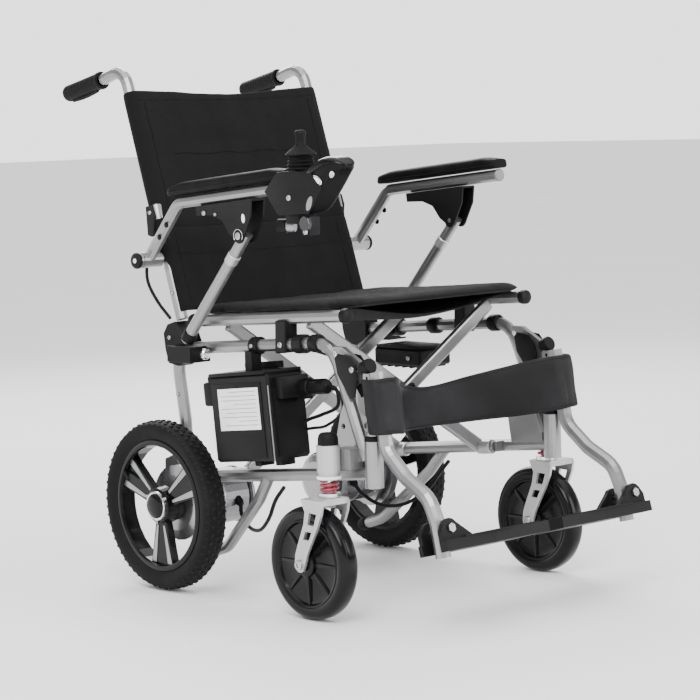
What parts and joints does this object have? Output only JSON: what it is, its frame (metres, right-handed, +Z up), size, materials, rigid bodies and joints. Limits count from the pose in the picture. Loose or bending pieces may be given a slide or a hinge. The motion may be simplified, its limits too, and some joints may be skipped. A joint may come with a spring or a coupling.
{
  "type": "power wheelchair",
  "caption": "Folding power wheelchair with silver tube frame, black sling seat and back, armrests, joystick, side battery, motor drive wheels, spring casters and flip-up footplates.",
  "frame": {"origin": "on the floor, midway between the side frames and at the middle of the overall length", "axes": "+Z up, the chair faces -Y, its right-hand side is at -X; the rear axle is at Y = 0.1926"},
  "size_m": [0.611, 1.0211, 0.9337],
  "materials": {
    "frame_tube": "satin silver",
    "black_fitting": "satin black",
    "motor_case": "satin silver",
    "tyre": "matte black",
    "wheel_rim": "gloss black",
    "spring": "red",
    "rubber": "matte",
    "upholstery": "woven black",
    "leatherette": "dark grey",
    "pad": "moulded black foam skin",
    "battery_case": "fine texture black"
  },
  "bodies": {
    "right_frame": {"right_side_frame": "frame_tube", "right_hinge_block": "black_fitting", "right_saddle": "black_fitting", "right_motor": "motor_case", "right_caster_housing": "frame_tube", "right_caster_spring": "spring", "right_lower_cane": "frame_tube", "battery": "battery_case", "back_sling_lower": "upholstery", "joystick_cable": "rubber", "right_motor_cable": "rubber"},
    "left_frame": {"left_side_frame": "frame_tube", "left_hinge_block": "black_fitting", "left_saddle": "black_fitting", "left_motor": "motor_case", "left_caster_housing": "frame_tube", "left_caster_spring": "spring", "left_lower_cane": "frame_tube"},
    "front_brace": {"cross_brace_a": "frame_tube", "controller_box": "black_fitting"},
    "second_brace": {"cross_brace_b": "frame_tube"},
    "seat": {"seat_sling": "upholstery"},
    "right_wheel": {"right_tyre": "tyre", "right_rim": "wheel_rim"},
    "right_stem": {"right_caster_stem": "frame_tube"},
    "right_fork": {"right_caster_fork": "frame_tube"},
    "right_caster": {"right_caster_wheel": "wheel_rim"},
    "right_link": {"right_side_link": "black_fitting"},
    "right_armrest": {"right_armrest_tube": "frame_tube", "right_armrest_pad": "pad", "right_armrest_bracket": "black_fitting", "joystick_pod": "black_fitting"},
    "right_prop": {"right_strut": "frame_tube"},
    "right_back": {"right_upper_cane": "frame_tube", "right_grip": "rubber", "back_sling_upper": "upholstery"},
    "right_lever": {"right_hinge_lever": "black_fitting"},
    "right_leg": {"right_hanger": "frame_tube", "calf_strap": "leatherette"},
    "right_plate": {"right_footplate": "black_fitting", "right_footplate_pin": "black_fitting"},
    "left_wheel": {"left_tyre": "tyre", "left_rim": "wheel_rim"},
    "left_stem": {"left_caster_stem": "frame_tube"},
    "left_fork": {"left_caster_fork": "frame_tube"},
    "left_caster": {"left_caster_wheel": "wheel_rim"},
    "left_link": {"left_side_link": "black_fitting"},
    "left_armrest": {"left_armrest_tube": "frame_tube", "left_armrest_pad": "pad", "left_armrest_bracket": "black_fitting"},
    "left_prop": {"left_strut": "frame_tube"},
    "left_back": {"left_upper_cane": "frame_tube", "left_grip": "rubber"},
    "left_lever": {"left_hinge_lever": "black_fitting"},
    "left_leg": {"left_hanger": "frame_tube"},
    "left_plate": {"left_footplate": "black_fitting", "left_footplate_pin": "black_fitting"},
    "gimbal": {"joystick_gimbal": "black_fitting"},
    "stick": {"joystick_knob": "rubber"},
    "button": {"power_button": "wheel_rim"}
  },
  "joints": [
    {"name": "fold", "type": "hinge", "parent": "right_frame", "child": "front_brace", "pos_m": [-0.193, -0.1594, 0.23175], "axis": [0, -0.9949, 0.1005], "range_deg": [0, 28], "deforming": ["seat_sling", "back_sling_lower", "back_sling_upper", "calf_strap"]},
    {"name": "cross_pivot", "type": "hinge", "parent": "front_brace", "child": "second_brace", "pos_m": [0, -0.1594, 0.3584], "axis": [0, -0.9949, 0.1005], "range_deg": [-56, 0]},
    {"name": "left_frame_hinge", "type": "hinge", "parent": "second_brace", "child": "left_frame", "pos_m": [0.193, -0.1594, 0.23175], "axis": [0, -0.9949, 0.1005], "range_deg": [0, 28]},
    {"name": "seat_rise", "type": "slide", "parent": "right_frame", "child": "seat", "axis": [0, 0.101, 0.9949], "range_m": [0, 0.165]},
    {"name": "right_wheel_spin", "type": "hinge", "parent": "right_frame", "child": "right_wheel", "pos_m": [-0.269, 0.1926, 0.1525], "axis": [1, 0, 0], "continuous": true},
    {"name": "right_suspension", "type": "slide", "parent": "right_frame", "child": "right_stem", "axis": [0, 0, 1], "range_m": [0, 0.012], "stiffness_N_per_m": 8000, "springref_m": -0.01, "deforming": ["right_caster_spring"]},
    {"name": "right_swivel", "type": "hinge", "parent": "right_stem", "child": "right_fork", "pos_m": [-0.262, -0.2424, 0.2], "axis": [0, 0, 1], "continuous": true},
    {"name": "right_caster_spin", "type": "hinge", "parent": "right_fork", "child": "right_caster", "pos_m": [-0.274, -0.2114, 0.0958], "axis": [1, 0, 0], "continuous": true},
    {"name": "right_link_turn", "type": "hinge", "parent": "right_frame", "child": "right_link", "pos_m": [-0.215, -0.1319, 0.45214], "axis": [0, -0.9973, 0.0733], "range_deg": [0, 56]},
    {"name": "right_armrest_flip", "type": "hinge", "parent": "right_frame", "child": "right_armrest", "pos_m": [-0.252, 0.2346, 0.588], "axis": [-1, 0, 0], "range_deg": [0, 85], "deforming": ["joystick_cable"]},
    {"name": "right_strut_pivot", "type": "hinge", "parent": "right_armrest", "child": "right_prop", "pos_m": [-0.252, -0.0374, 0.636], "axis": [1, 0, 0], "range_deg": [0, 30]},
    {"name": "back_fold", "type": "hinge", "parent": "right_frame", "child": "right_back", "pos_m": [-0.214, 0.26677, 0.64433], "axis": [-1, 0, 0], "range_deg": [0, 100]},
    {"name": "right_hinge_lever_turn", "type": "hinge", "parent": "right_frame", "child": "right_lever", "pos_m": [-0.2262, 0.25216, 0.671], "axis": [1, 0, 0], "range_deg": [0, 40]},
    {"name": "right_hanger_swing", "type": "hinge", "parent": "right_frame", "child": "right_leg", "pos_m": [-0.215, -0.3024, 0.3], "axis": [0, 0, -1], "range_deg": [0, 90]},
    {"name": "right_footplate_flip", "type": "hinge", "parent": "right_leg", "child": "right_plate", "pos_m": [-0.222, -0.4574, 0.168], "axis": [0, -0.9613, 0.2756], "range_deg": [0, 90.5]},
    {"name": "left_wheel_spin", "type": "hinge", "parent": "left_frame", "child": "left_wheel", "pos_m": [0.269, 0.1926, 0.1525], "axis": [1, 0, 0], "continuous": true},
    {"name": "left_suspension", "type": "slide", "parent": "left_frame", "child": "left_stem", "axis": [0, 0, 1], "range_m": [0, 0.012], "stiffness_N_per_m": 8000, "springref_m": -0.01, "deforming": ["left_caster_spring"]},
    {"name": "left_swivel", "type": "hinge", "parent": "left_stem", "child": "left_fork", "pos_m": [0.262, -0.2424, 0.2], "axis": [0, 0, 1], "continuous": true},
    {"name": "left_caster_spin", "type": "hinge", "parent": "left_fork", "child": "left_caster", "pos_m": [0.274, -0.2114, 0.0958], "axis": [1, 0, 0], "continuous": true},
    {"name": "left_link_turn", "type": "hinge", "parent": "left_frame", "child": "left_link", "pos_m": [0.215, 0.0866, 0.43609], "axis": [0, -0.9973, 0.0733], "range_deg": [-56, 0]},
    {"name": "left_armrest_flip", "type": "hinge", "parent": "left_frame", "child": "left_armrest", "pos_m": [0.252, 0.2346, 0.588], "axis": [-1, 0, 0], "range_deg": [0, 85]},
    {"name": "left_strut_pivot", "type": "hinge", "parent": "left_armrest", "child": "left_prop", "pos_m": [0.252, -0.0374, 0.636], "axis": [1, 0, 0], "range_deg": [0, 30]},
    {"name": "left_back_fold", "type": "hinge", "parent": "left_frame", "child": "left_back", "pos_m": [0.214, 0.26677, 0.64433], "axis": [-1, 0, 0], "range_deg": [0, 100]},
    {"name": "left_hinge_lever_turn", "type": "hinge", "parent": "left_frame", "child": "left_lever", "pos_m": [0.2262, 0.25216, 0.671], "axis": [1, 0, 0], "range_deg": [0, 40]},
    {"name": "left_hanger_swing", "type": "hinge", "parent": "left_frame", "child": "left_leg", "pos_m": [0.215, -0.3024, 0.3], "axis": [0, 0, 1], "range_deg": [0, 90]},
    {"name": "left_footplate_flip", "type": "hinge", "parent": "left_leg", "child": "left_plate", "pos_m": [0.222, -0.4574, 0.168], "axis": [0, 0.9613, -0.2756], "range_deg": [0, 90.5]},
    {"name": "joystick_pitch", "type": "hinge", "parent": "right_armrest", "child": "gimbal", "pos_m": [-0.25, -0.1844, 0.752], "axis": [1, 0, 0], "range_deg": [-15, 15], "stiffness_Nm_per_rad": 0.1},
    {"name": "joystick_roll", "type": "hinge", "parent": "gimbal", "child": "stick", "pos_m": [-0.25, -0.1844, 0.752], "axis": [0, 1, 0], "range_deg": [-15, 15], "stiffness_Nm_per_rad": 0.1},
    {"name": "power_button_press", "type": "slide", "parent": "right_armrest", "child": "button", "axis": [0, 0, -1], "range_m": [0, 0.0015], "stiffness_N_per_m": 300}
  ],
  "couplings": [
    {"joint": "cross_pivot", "follows": "fold", "ratio": -2},
    {"joint": "left_frame_hinge", "follows": "fold", "ratio": 1},
    {"joint": "seat_rise", "follows": "fold", "m_per_rad": 0.333},
    {"joint": "right_link_turn", "follows": "fold", "ratio": 2},
    {"joint": "right_strut_pivot", "follows": "right_armrest_flip", "ratio": 0.316},
    {"joint": "right_footplate_flip", "follows": "fold", "ratio": 3.2143},
    {"joint": "left_link_turn", "follows": "fold", "ratio": -2},
    {"joint": "left_strut_pivot", "follows": "left_armrest_flip", "ratio": 0.316},
    {"joint": "left_back_fold", "follows": "back_fold", "ratio": 1},
    {"joint": "left_footplate_flip", "follows": "fold", "ratio": 3.2143}
  ]
}
